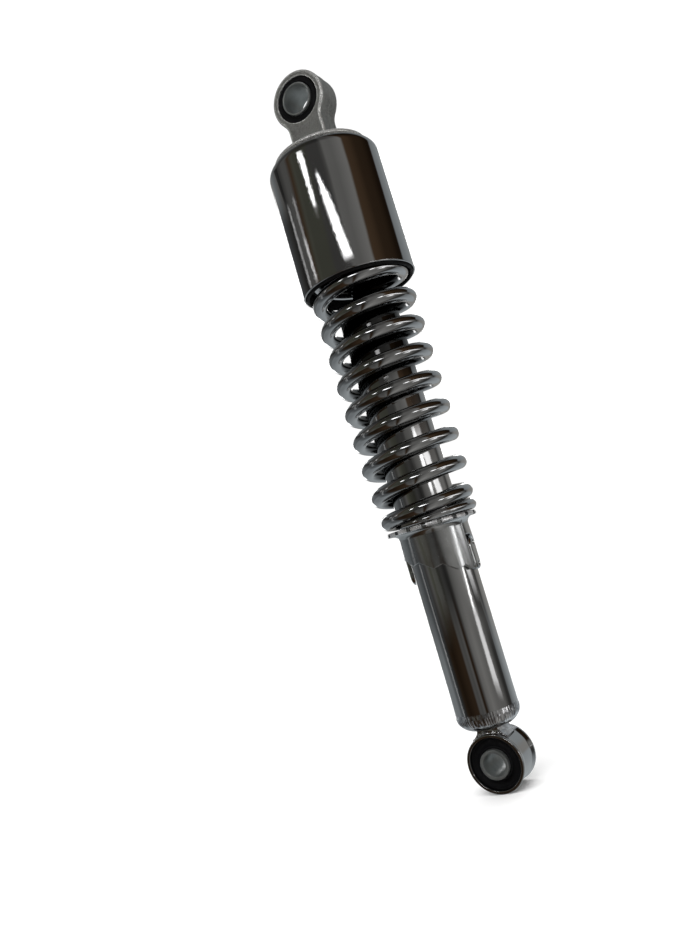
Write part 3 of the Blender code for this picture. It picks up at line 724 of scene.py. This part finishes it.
# The collar's lower edge: valleys for the lugs, sharp tips between them, and a long end. The lugs end short
# of the valleys, because the turn follows the lift in a straight line, which brings the tips down on them.
VALLEY_ANGLE = 37.6
VALLEY_DROP = 3.28
FIRST_VALLEY = 100.4
TIP_ANGLE = 13.6
TIP_DEPTH = 1.0
WALL_ANGLE = 13.3
LONG_END_ANGLE = 161.0
LONG_END = 84.7

# Its castellated rim.
TAB_COUNT = 18
TAB_SPACING = 20
TAB_PHASE = 15
TAB_HALF_ANGLE = 7.25
TAB_R = 21.5
NOTCH_R = 19.7


def cam_stations():
    """(angle, height) stations down one half of the edge, from the stop wall on."""
    stations = [(-WALL_ANGLE, LONG_END), (-WALL_ANGLE + 0.5, FIRST_VALLEY)]
    for step in range(5):
        valley = FIRST_VALLEY - step * VALLEY_DROP
        middle = step * VALLEY_ANGLE
        stations += [(middle - 1.0, valley - 0.05), (middle, valley), (middle + 1.0, valley - 0.1)]
        if step < 4:
            tip = valley - VALLEY_DROP - TIP_DEPTH
            angle = middle + VALLEY_ANGLE - TIP_ANGLE
            stations += [(angle - 0.9, tip + 0.12), (angle, tip), (angle + 0.9, tip + 0.1)]
    return stations + [(LONG_END_ANGLE - 1.5, LONG_END + 0.25), (LONG_END_ANGLE, LONG_END)]


def edge_height(stations, angle):
    for (start, low), (end, high) in zip(stations, stations[1:]):
        if start <= angle <= end:
            return low + (high - low) * (angle - start) / max(end - start, 1e-6)
    return stations[-1][1]


def flange_reach(angle):
    """Radius of the rim at an angle."""
    off = abs((angle - TAB_PHASE + TAB_SPACING / 2) % TAB_SPACING - TAB_SPACING / 2)
    return TAB_R if off < TAB_HALF_ANGLE else NOTCH_R


def collar_ring():
    skirt, bore, bottom = 16.8, 15.1, 108.3
    highlight_from = 20.7
    spacing, tab_edge = 1.5, 0.12
    half_turn = cam_stations()
    stations = [(a + turn, z) for turn in (0, 180) for a, z in half_turn] + [(360 - WALL_ANGLE, LONG_END)]
    angles = {round(a, 3) for a, _ in stations[:-1]}
    angles |= {round(-WALL_ANGLE + spacing * i, 3) for i in range(240)}
    for tab in range(TAB_COUNT):
        for side in (-TAB_HALF_ANGLE, TAB_HALF_ANGLE):
            middle = (TAB_PHASE + TAB_SPACING * tab + side + WALL_ANGLE) % 360 - WALL_ANGLE
            angles |= {round(middle - tab_edge, 3), round(middle + tab_edge, 3)}
    rings = []
    for angle in sorted(angles):
        edge = edge_height(stations, angle)
        reach = flange_reach(angle)
        throat = rounded(
            [
                (bore, edge, 0.25),
                (skirt, edge, 0.35),
                (skirt - 0.35, bottom, 3.0),
                (reach, bottom, 0.5),
                (reach - 0.22, COLLAR_TOP, 0.5),
                (bore, COLLAR_TOP, 0.4),
            ],
            5,
        )
        c, s = math.cos(math.radians(angle)), math.sin(math.radians(angle))
        rings.append([(r * c, r * s, z) for r, z in throat])
    collar = finished("collar_ring", skinned("collar_ring", rings), SATIN, 32)
    # The tab rims beyond this radius get the brighter plate, a painted highlight.
    collar.data.materials.append(TAB_HIGHLIGHT)
    for face in collar.data.polygons:
        face.material_index = int(face.center.xy.length > highlight_from * MM)
    return place(collar, "collar", "satin_chrome", "preload_collar")


def stop_lug(name, middle_angle, node):
    """A curved stadium plate welded to the tube, with two round dimples."""
    half_width, bottom, top, inner, outer = 3.9, 83.9, 98.75, 14.75, 17.0
    crown = 0.04
    dimple_r, dimple_out, dimple_z = 1.9, 1.35, 4.9
    straight = (top - bottom) / 2 - half_width
    outline = arc(0, straight, half_width, 0, 180, 20) + arc(0, -straight, half_width, 180, 360, 20)
    middle_z = (top + bottom) / 2
    levels = [(inner, 0.0), (outer - 1.0, 0.0), (outer - 0.5, 0.14), (outer - 0.15, 0.5), (outer, 1.05)]
    loops = []
    for radius, inset in levels:
        scale = 1 - inset / half_width
        loops.append([(radius, x * scale, z * (1 - inset / (straight + half_width))) for x, z in outline])
    for share in (0.62, 0.42, 0.2):
        loops.append([(outer + crown, x * share, z * (0.55 + 0.45 * share)) for x, z in outline])
    points, faces = [], []
    for loop in loops:
        for radius, x, z in loop:
            angle = math.radians(middle_angle) + x / outer
            points.append((radius * math.cos(angle), radius * math.sin(angle), middle_z + z))
    size = len(outline)
    for level in range(len(loops) - 1):
        for i in range(size):
            k = (i + 1) % size
            a, b = level * size, (level + 1) * size
            faces.append((a + i, a + k, b + k, b + i))
    faces.append(tuple(range(size)))
    faces.append(tuple((len(loops) - 1) * size + i for i in range(size)))
    plate = mesh_of(name, points, faces)
    dents = []
    for z in (-dimple_z, dimple_z):
        ball = bmesh.new()
        bmesh.ops.create_uvsphere(ball, u_segments=24, v_segments=16, radius=dimple_r * MM)
        angle = math.radians(middle_angle)
        out = Vector((math.cos(angle), math.sin(angle), 0)) * (outer + dimple_out)
        bmesh.ops.translate(ball, vec=(out + Vector((0, 0, middle_z + z))) * MM, verts=ball.verts)
        dent = bpy.data.meshes.new(f"{name}_dent")
        ball.to_mesh(dent)
        ball.free()
        dents.append(dent)
    lug = finished(name, plate, SATIN, 40)
    for dent in dents:
        tool = finished(dent.name, dent, SATIN)
        cut = lug.modifiers.new("dent", "BOOLEAN")
        cut.operation = "DIFFERENCE"
        cut.solver = "EXACT"
        cut.object = tool
        apply_modifiers(lug)
        bpy.data.objects.remove(tool, do_unlink=True)
    lug.data.shade_smooth()
    lug.data.set_sharp_from_angle(angle=math.radians(30))
    return place(lug, "damper_body", "chrome", node)


# Damper and lower end


def damper_tube():
    inner, mouth, overlap = 13.1, 11.5, 1
    corners = [
        (inner, TUBE_BOTTOM - overlap, 0),
        (TUBE_R, TUBE_BOTTOM - overlap, 0.2),
        (TUBE_R, TUBE_TOP, 1.3),
        (mouth, TUBE_TOP, 0.3),
        (mouth, TUBE_TOP - 1, 0.2),
        (inner, TUBE_TOP - 1, 0.3),
    ]
    tube = lathe("damper_tube", rounded(corners, 6), CHROME_TUBE, 256)
    return place(tube, "damper_body", "chrome", "body_tube")


def end_cap_weld():
    """The tube's rounded end, with a low rippled weld round it where it meets the tube."""
    bottom, top, steps = 15.0, TUBE_BOTTOM + 1.2, 30
    corner, inner, thick = 6.8, 12.8, 4
    bead_bottom, bead_height = 17.4, 4.6
    plain_below = 17.6
    side = arc(TUBE_R - corner, bottom + corner, corner, -90, 0, steps)
    outline = [(ON_AXIS, bottom), (4, bottom)] + side
    outline += [(14.62, top), (inner, top), (inner, bottom + thick), (ON_AXIS, bottom + thick)]

    def bead(angle, index):
        z = outline[index][1]
        share = (z - bead_bottom) / bead_height
        if index > len(side) + 2 or not 0 < share < 1:
            return 0
        mound = math.sin(math.pi * share) ** 0.5
        spot = Vector((math.cos(angle), math.sin(angle), 0))
        wander = noise.noise(spot * 2.2)
        ripple = math.sin(58 * angle + 7 * wander + 1.6 * (share - 0.5))
        broken = noise.noise(spot * 17 + Vector((0, 0, z * 0.25)))
        pits = noise.noise(spot * 34 + Vector((0, 0, z * 1.3)))
        return mound * (0.1 + 0.09 * ripple + 0.16 * broken + 0.08 * pits)

    end = lathe("end_cap_weld", outline, CHROME_WELD, 720, bead)
    end.data.materials.append(CHROME)
    for face in end.data.polygons:
        face.material_index = int(face.center.z < plain_below * MM)
    return place(end, "damper_body", "chrome", "bottom_cap")


def lower_eye():
    half = 8.8
    corners = [
        (11.75, half, 0.3),
        (13.2, half, 0.45),
        (13.2, half - 1.3, 0.6),
        (12.45, half - 3.8, 3.0),
        (12.45, -half + 3.8, 3.0),
        (13.2, -half + 1.3, 0.6),
        (13.2, -half, 0.45),
        (11.75, -half, 0.3),
    ]
    eye = lathe_y("lower_eye", rounded(corners, 6), 0, CHROME, 192)
    return place(eye, "damper_body", "chrome", "lower_eye_ring")


def lower_eye_weld():
    """The saddle between the eye and the tube's end, with a weld bead run round it."""
    half_depth = 6.2
    count, bead_reach, squareness = 34, 6.0, 0.75
    seat_r, proud = 12.8, 0.2
    hollow_r, hollow_half = 11.9, 12
    side = [(5.2, 15.8), (5.3, 14.2), (5.9, 12.9), (7.3, 11.6), (9.0, 10.6)]
    block = extruded("saddle_block", side + [(-x, z) for x, z in reversed(side)], -half_depth, half_depth)
    lumps = [block]
    for i in range(count):
        angle = 2 * math.pi * i / count
        wobble = noise.noise(Vector((math.cos(angle) * 3, math.sin(angle) * 3, 4)))
        reach = bead_reach / max(abs(math.cos(angle)), abs(math.sin(angle))) ** squareness
        x, y = reach * math.cos(angle), reach * math.sin(angle)
        seat = math.sqrt(seat_r**2 - x**2)
        ball = bmesh.new()
        size = 0.95 + 0.5 * wobble
        bmesh.ops.create_uvsphere(ball, u_segments=16, v_segments=10, radius=size * MM)
        bmesh.ops.translate(ball, vec=Vector((x, y, seat + proud)) * MM, verts=ball.verts)
        lump = bpy.data.meshes.new("saddle_bead")
        ball.to_mesh(lump)
        ball.free()
        lumps.append(lump)
    hollow = skinned("saddle_hollow", rings_y(solid_outline(hollow_r, -hollow_half, hollow_half), 0, 96))
    weld = fused("lower_eye_weld", lumps, CHROME_WELD, voxel=0.28, smoothing=5, cuts=[hollow])
    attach(weld, "damper_body")
    return weld


eye_casting()
rubber_bush(
    "upper_rubber", inner=8.02, outer=11.4, rim=6.9, dip=6.5, lip=7.3,
    z=UPPER_EYE_Z, body="upper_assembly", node="upper_rubber_bush",
)
eye_sleeve("upper_eye_sleeve", 7.0, 7.95, UPPER_EYE_Z, "upper_bolt_sleeve", "upper_sleeve")
cover_shell()
cover_liner()
spring_coil()
collar_ring()
stop_lug("lug_right", 1.5, "stop_lug_right")
stop_lug("lug_left", 181.5, "stop_lug_left")
damper_tube()
end_cap_weld()
lower_eye()
lower_eye_weld()
rubber_bush(
    "lower_rubber", inner=6.67, outer=11.75, rim=6.9, dip=4.6, lip=7.6,
    z=0, body="damper_body", node="lower_rubber_bush",
)
eye_sleeve("lower_eye_sleeve", 5.1, 6.6, 0, "lower_bolt_sleeve", "lower_sleeve")

# The pieces inside stay as the CAD has them, in finished materials.
INNER_FINISH = {
    "chrome": CHROME_TUBE,
    "satin_chrome": SATIN,
    "cast_aluminium": ALUMINIUM,
    "zinc_steel": ZINC,
    "plain_steel": STEEL,
    "rubber": RUBBER,
    "black_plastic": PLASTIC,
    "bronze": BRONZE,
}
for entry in frame["record"]["subparts"]:
    node = frame["nodes"][entry["node"]]
    for socket in node.material_slots:
        socket.material = INNER_FINISH[entry["material_slot"]]


# Surroundings: what the chrome reflects. Angles are round the shock from the side the camera is on,
# positive to the right, and above the horizon.


def ramp(tree, turn, stops):
    """A colour by the angle round the shock, from (degrees, colour) stops."""
    share = ranged(tree, turn, -180, 180, 0, 1)
    node = tree.nodes.new("ShaderNodeValToRGB")
    points = node.color_ramp.elements
    while len(points) > 1:
        points.remove(points[-1])
    points[0].position = (stops[0][0] + 180) / 360
    points[0].color = (*stops[0][1], 1)
    for degrees, colour in stops[1:]:
        points.new((degrees + 180) / 360).color = (*colour, 1)
    tree.links.new(share, node.inputs["Fac"])
    return node.outputs["Color"]


def patch(tree, turn, height, top, top_sides, bottom, bottom_sides, soft):
    """1 inside a slanting four-sided patch, 0 outside it."""
    left = ranged(tree, height, bottom, top, bottom_sides[0], top_sides[0])
    right = ranged(tree, height, bottom, top, bottom_sides[1], top_sides[1])
    shares = [
        ranged(tree, maths(tree, "SUBTRACT", turn, left), -soft, soft, 0, 1, smooth=True),
        ranged(tree, maths(tree, "SUBTRACT", right, turn), -soft, soft, 0, 1, smooth=True),
        ranged(tree, height, bottom - soft, bottom + soft, 0, 1, smooth=True),
        ranged(tree, height, top - soft, top + soft, 1, 0, smooth=True),
    ]
    inside = shares[0]
    for share in shares[1:]:
        inside = maths(tree, "MULTIPLY", inside, share)
    return inside


def grey(level):
    return (level, level * 0.985, level * 0.94)


def cool(level):
    return (level * 0.93, level, level * 1.03)


def olive(level):
    return (level, level * 1.02, level * 0.8)


def brown(level):
    return (level, level * 0.62, level * 0.36)


# The room's tone at three heights: (degrees round, tone).
HIGH_ROOM = [
    (-180, grey(0.3)),
    (-140, cool(0.17)),
    (-122, grey(0.11)),
    (-109, grey(0.045)),
    (-97, grey(0.09)),
    (-86, grey(0.09)),
    (-77, brown(0.05)),
    (-67, olive(0.065)),
    (-60, olive(0.055)),
    (-36, olive(0.055)),
    (-28, grey(0.05)),
    (-6, grey(0.05)),
    (0, grey(0.075)),
    (5, grey(0.14)),
    (20, grey(0.13)),
    (43, grey(0.19)),
    (48, brown(0.06)),
    (60, brown(0.05)),
    (72, brown(0.03)),
    (90, brown(0.026)),
    (105, brown(0.013)),
    (113, brown(0.012)),
    (117, cool(0.23)),
    (140, cool(0.3)),
    (180, grey(0.33)),
]
LEVEL_ROOM = [
    (-180, grey(0.12)),
    (-140, cool(0.17)),
    (-122, cool(0.13)),
    (-108, cool(0.08)),
    (-88, cool(0.08)),
    (-78, grey(0.055)),
    (-68, grey(0.11)),
    (-60, olive(0.08)),
    (-50, olive(0.048)),
    (-34, olive(0.03)),
    (-22, grey(0.05)),
    (-8, grey(0.021)),
    (-1, grey(0.033)),
    (6, grey(0.1)),
    (16, grey(0.15)),
    (44, grey(0.24)),
    (60, grey(0.19)),
    (92, grey(0.21)),
    (100, grey(0.12)),
    (109, grey(0.045)),
    (114, grey(0.15)),
    (122, grey(0.26)),
    (150, grey(0.3)),
    (180, grey(0.28)),
]
LOW_ROOM = [
    (-180, cool(0.35)),
    (-140, cool(0.23)),
    (-120, cool(0.24)),
    (-108, cool(0.12)),
    (-94, cool(0.1)),
    (-88, grey(0.03)),
    (-77, brown(0.024)),
    (-66, brown(0.016)),
    (-45, brown(0.03)),
    (-35, brown(0.032)),
    (-29, grey(0.09)),
    (-20, grey(0.08)),
    (-13, grey(0.11)),
    (-8, brown(0.026)),
    (-4, brown(0.026)),
    (1, grey(0.08)),
    (7, grey(0.16)),
    (22, grey(0.21)),
    (38, grey(0.16)),
    (70, grey(0.14)),
    (80, grey(0.075)),
    (88, grey(0.034)),
    (98, grey(0.04)),
    (104, cool(0.2)),
    (122, cool(0.33)),
    (145, cool(0.41)),
    (180, cool(0.35)),
]
# (brightness, top, sides at the top, bottom, sides at the bottom, softness)
LAMPS = [
    (3.2, 32.4, (-50, -39.5), 25.4, (-46.5, -41.5), 0.5),
    (3.2, 29.4, (-22.5, -21), 25.8, (-23.5, -11), 0.5),
    (3.2, 25.8, (-23.5, -11), 17.3, (-17.4, -0.8), 0.5),
    (2.4, 10.5, (26.5, 37), 4, (28, 38), 1.2),
    (1.2, 10, (34, 60), -5, (76, 94), 2.5),
    (0.3, 7, (49, 54), -7, (50, 55), 1.5),
    (0.05, -2, (-54, -36), -8, (-54, -34), 2.0),
    (2.6, -3, (61, 66), -8, (53, 58.5), 0.8),
    (0.85, -8, (51, 64), -16, (47, 66), 1.5),
    (0.35, 27, (-90, -86), 22, (-90, -86), 0.6),
    (0.95, 22, (-90, -86), 17, (-90, -85), 0.6),
    (0.5, 26, (-111, -107), 17, (-112, -107), 0.6),
    (0.28, 16, (-99, -95), -20, (-99, -95), 0.6),
    (2.5, 30, (158, 168), 4, (160, 170), 1.5),
    (2.5, 26, (-170, -162), -12, (-172, -164), 1.5),
]
# The same for what stands dark in the room, with its depth in place of a brightness.
SHADES = [
    (0.65, 25.5, (-156, -114), 16, (-160, -113), 1.5),
    (0.7, 33, (-132, -112), 26.5, (-118, -111), 1.2),
    (0.7, 14, (-94.5, -91), -20, (-94.5, -91), 0.6),
    (0.7, -1.5, (69, 93), -8.5, (71, 97), 2.0),
]


def surroundings():
    world = bpy.data.worlds.new("studio")
    world.use_nodes = True
    bpy.context.scene.world = world
    tree = world.node_tree
    back = tree.nodes["Background"]
    direction = tree.nodes.new("ShaderNodeTexCoord").outputs["Generated"]

    def along(axis):
        node = tree.nodes.new("ShaderNodeVectorMath")
        node.operation = "DOT_PRODUCT"
        node.inputs[1].default_value = axis
        tree.links.new(direction, node.inputs[0])
        return node.outputs["Value"]

    ragged = tree.nodes.new("ShaderNodeTexNoise")
    ragged.inputs["Scale"].default_value = 34
    ragged.inputs["Detail"].default_value = 8
    ragged.inputs["Roughness"].default_value = 0.7
    flattened = tree.nodes.new("ShaderNodeMapping")
    flattened.inputs["Scale"].default_value = (1, 1, 9)
    tree.links.new(direction, flattened.inputs["Vector"])
    tree.links.new(flattened.outputs["Vector"], ragged.inputs["Vector"])
    widest = 4.5
    wander = ranged(tree, ragged.outputs["Fac"], 0.35, 0.65, -widest, widest)
    turn = maths(tree, "ARCTAN2", along(ACROSS), along(-AWAY))
    turn = maths(tree, "MULTIPLY", turn, 180 / math.pi)
    height = maths(tree, "MULTIPLY", maths(tree, "ARCSINE", along(Vector((0, 0, 1)))), 180 / math.pi)
    frayed = maths(tree, "ADD", turn, wander)
    leaning = maths(tree, "ADD", turn, ranged(tree, height, 17, 29, 8, 0))
    above_low = ranged(tree, height, -12, -5, 0, 1, smooth=True)
    low = blended(tree, above_low, ramp(tree, turn, LOW_ROOM), ramp(tree, turn, LEVEL_ROOM))
    above_level = ranged(tree, height, 3, 15, 0, 1, smooth=True)
    room = blended(tree, above_level, low, ramp(tree, leaning, HIGH_ROOM))
    near_ground = ranged(tree, height, -60, -24, 1.4, 1, smooth=True)
    overhead = ranged(tree, height, 36, 62, 1, 0.5, smooth=True)
    shade = maths(tree, "MULTIPLY", near_ground, overhead)
    for depth, top, top_sides, bottom, bottom_sides, soft in SHADES:
        inside = patch(tree, turn, height, top, top_sides, bottom, bottom_sides, soft)
        shade = maths(tree, "MULTIPLY", shade, ranged(tree, inside, 0, 1, 1, 1 - depth))
    light = None
    for brightness, top, top_sides, bottom, bottom_sides, soft in LAMPS:
        inside = patch(tree, frayed, height, top, top_sides, bottom, bottom_sides, soft)
        glow = maths(tree, "MULTIPLY", inside, brightness)
        light = glow if light is None else maths(tree, "ADD", light, glow)
    path = tree.nodes.new("ShaderNodeLightPath")
    deep_share = 0.2
    dimming = ranged(tree, path.outputs["Ray Depth"], 2, 3, 1, deep_share)
    light = maths(tree, "MULTIPLY", light, dimming)
    scaled = tree.nodes.new("ShaderNodeVectorMath")
    scaled.operation = "SCALE"
    tree.links.new(room, scaled.inputs[0])
    tree.links.new(shade, scaled.inputs["Scale"])
    total = tree.nodes.new("ShaderNodeVectorMath")
    total.operation = "ADD"
    tree.links.new(scaled.outputs["Vector"], total.inputs[0])
    tree.links.new(light, total.inputs[1])
    backdrop = (1.05, 1.05, 1.05)
    seen = blended(tree, path.outputs["Is Camera Ray"], total.outputs["Vector"], backdrop)
    tree.links.new(seen, back.inputs["Color"])


def soft_light(name, strength, spread, turn, height):
    """Broad light for the floor and the dull surfaces; the chrome doesn't mirror it."""
    light = bpy.data.lights.new(name, "SUN")
    light.energy = strength
    light.angle = math.radians(spread)
    lamp = bpy.data.objects.new(name, light)
    from_side = -AWAY * math.cos(math.radians(turn)) + ACROSS * math.sin(math.radians(turn))
    towards = from_side * math.cos(math.radians(height)) + Vector((0, 0, math.sin(math.radians(height))))
    lamp.rotation_euler = towards.to_track_quat("Z", "Y").to_euler()
    lamp.visible_glossy = False
    bpy.context.scene.collection.objects.link(lamp)


def studio_floor():
    material, tree, shader = start_material("pale_floor", (0.92, 0.92, 0.92), 0.0, 0.8)
    tone = ranged(tree, value_noise(tree, 3, 3), 0.3, 0.7, 0, 1)
    tree.links.new(blended(tree, tone, (0.93, 0.93, 0.93), (0.91, 0.91, 0.91)), shader.inputs["Base Color"])
    side = 6000.0
    corners = [(-side, -side, FLOOR_Z), (side, -side, FLOOR_Z), (side, side, FLOOR_Z), (-side, side, FLOOR_Z)]
    mesh = mesh_of("studio_floor", corners, [(0, 1, 2, 3)])
    if mesh.polygons[0].normal.z < 0:
        mesh.flip_normals()
    floor = finished("studio_floor", mesh, material)
    floor.visible_glossy = False


def photo_camera():
    tilt, roll = math.radians(VIEW_TILT), math.radians(VIEW_ROLL)
    up_axis = Vector((0, 0, 1))
    forward = AWAY * math.cos(tilt) + up_axis * math.sin(tilt)
    upright = up_axis * math.cos(tilt) - AWAY * math.sin(tilt)
    right = ACROSS * math.cos(roll) - upright * math.sin(roll)
    up = ACROSS * math.sin(roll) + upright * math.cos(roll)
    across, along, above = VIEW_PLACE
    data = bpy.data.cameras.new("camera")
    data.lens = VIEW_LENS
    data.sensor_width = 36
    data.clip_start = 0.01
    camera = bpy.data.objects.new("camera", data)
    matrix = Matrix((right, up, -forward)).transposed().to_4x4()
    matrix.translation = (ACROSS * across + AWAY * along + up_axis * above) * MM
    camera.matrix_world = matrix
    bpy.context.scene.collection.objects.link(camera)
    bpy.context.scene.camera = camera


surroundings()
soft_light("key", strength=2.3, spread=60, turn=-35, height=48)
soft_light("fill", strength=1.7, spread=80, turn=60, height=60)
soft_light("behind", strength=1.2, spread=80, turn=175, height=50)
studio_floor()
photo_camera()
bpy.context.scene.view_settings.view_transform = "Standard"

bpy.context.view_layer.update()
